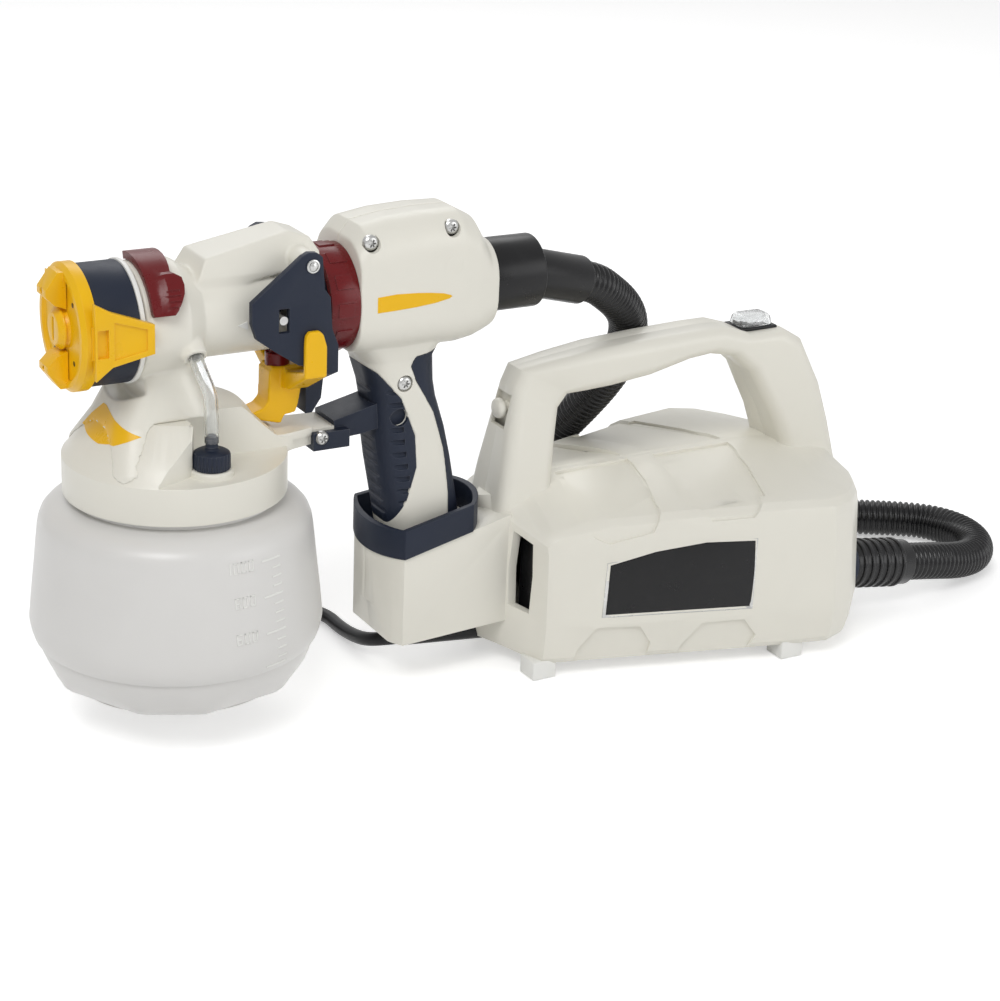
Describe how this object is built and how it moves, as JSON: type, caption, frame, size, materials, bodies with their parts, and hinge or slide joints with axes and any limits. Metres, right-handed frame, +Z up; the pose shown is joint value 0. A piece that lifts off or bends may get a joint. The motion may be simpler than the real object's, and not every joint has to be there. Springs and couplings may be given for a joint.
{
  "type": "paint sprayer",
  "caption": "Turbine paint sprayer: a spray gun with a translucent cup stands in the holder of a blower base with a carry handle, joined by a ribbed air hose.",
  "frame": {"origin": "middle of the gun and base on the floor they stand on", "axes": "+X from the air cap to the rear of the base, +Y to the far side, +Z up"},
  "size_m": [0.548, 0.3437, 0.232],
  "materials": {
    "cream": "satin moulded plastic",
    "navy": "satin moulded plastic",
    "yellow": "gloss plastic",
    "red": "gloss plastic",
    "cup": "milky translucent plastic",
    "white": "plain plastic",
    "clear": "clear plastic",
    "hose": "soft ribbed plastic",
    "black": "black plastic",
    "rubber": "rubber",
    "foam": "open foam",
    "steel": "steel",
    "copper": "copper windings on a steel core",
    "alu": "machined aluminium"
  },
  "bodies": {
    "base": {"housing_left": "cream", "housing_right": "cream", "housing_screws": "steel", "holder_ring": "navy", "hanging_peg": "navy", "name_plate": "black", "feet": "rubber", "filter_cover": "black", "filter_foam": "foam", "switch_frame": "black", "switch_cover": "clear", "motor_stator": "steel", "bearings": "steel", "motor_mounts": "navy", "fan_housing": "navy", "air_duct": "navy", "air_port": "navy", "strain_relief": "black", "mains_cable": "black", "cable_coil": "black", "cable_tail": "black", "plug": "black", "plug_pins": "steel", "hose_connector": "hose", "air_hose": "hose"},
    "rotor": {"rotor_shaft": "steel", "armature": "copper", "turbine_wheel": "alu"},
    "switch_rocker": {"rocker": "black"},
    "gun": {"front_body": "cream", "container_lid": "cream", "container_seal": "rubber", "suction_tube": "white", "suction_strainer": "white", "vent_cap": "navy", "vent_tube": "clear", "union_nut": "navy", "seal_disc": "white", "nozzle": "white", "needle_packing": "rubber", "trigger_pin": "steel", "needle_spring": "steel", "front_grip": "navy", "back_strip": "navy", "gun_shell_left": "cream", "gun_shell_right": "cream", "gun_screws": "steel", "coupling_neck": "navy", "gun_air_tube": "navy", "guard_arm": "navy", "hose_socket": "navy", "hose_elbow": "hose"},
    "paint_cup": {"container": "cup"},
    "spray_cap": {"air_cap": "yellow"},
    "width_lever": {"jet_width_lever": "red"},
    "lock_ring": {"coupling_ring": "red"},
    "paint_dial": {"flow_dial": "red"},
    "trigger": {"trigger_yoke": "navy", "trigger_blade": "yellow"},
    "paint_needle": {"needle": "steel"}
  },
  "joints": [
    {"name": "gun_lift", "type": "slide", "parent": "base", "child": "gun", "axis": [-0.1867, 0, 0.9824], "range_m": [0, 0.06], "deforming": ["air_hose"]},
    {"name": "rotor_spin", "type": "hinge", "parent": "base", "child": "rotor", "pos_m": [0.08462, 0, 0.049], "axis": [1, 0, 0], "continuous": true},
    {"name": "rocker_tilt", "type": "hinge", "parent": "base", "child": "switch_rocker", "pos_m": [0.14737, 0, 0.15], "axis": [0, 1, 0], "range_deg": [-7, 7]},
    {"name": "cup_turn", "type": "hinge", "parent": "gun", "child": "paint_cup", "pos_m": [-0.16538, 0, 0.06], "axis": [0, 0, 1], "range_deg": [0, 90]},
    {"name": "cap_turn", "type": "hinge", "parent": "gun", "child": "spray_cap", "pos_m": [-0.21538, 0, 0.1936], "axis": [1, 0, 0], "range_deg": [0, 90]},
    {"name": "lever_turn", "type": "hinge", "parent": "gun", "child": "width_lever", "pos_m": [-0.17738, 0, 0.1936], "axis": [1, 0, 0], "range_deg": [-40, 0]},
    {"name": "ring_turn", "type": "hinge", "parent": "gun", "child": "lock_ring", "pos_m": [-0.09338, 0, 0.1936], "axis": [1, 0, 0], "range_deg": [-30, 30]},
    {"name": "dial_turn", "type": "hinge", "parent": "gun", "child": "paint_dial", "pos_m": [-0.11538, 0, 0.167], "axis": [0, 0, 1], "range_deg": [0, 300]},
    {"name": "trigger_pull", "type": "hinge", "parent": "gun", "child": "trigger", "pos_m": [-0.11138, 0, 0.2172], "axis": [0, -1, 0], "range_deg": [0, 10], "stiffness_Nm_per_rad": 1.5, "springref_deg": -8.59},
    {"name": "needle_slide", "type": "slide", "parent": "gun", "child": "paint_needle", "axis": [1, 0, 0], "range_m": [0, 0.0043], "deforming": ["needle_spring"]}
  ],
  "couplings": [
    {"joint": "needle_slide", "follows": "trigger_pull", "m_per_rad": 0.0236}
  ]
}
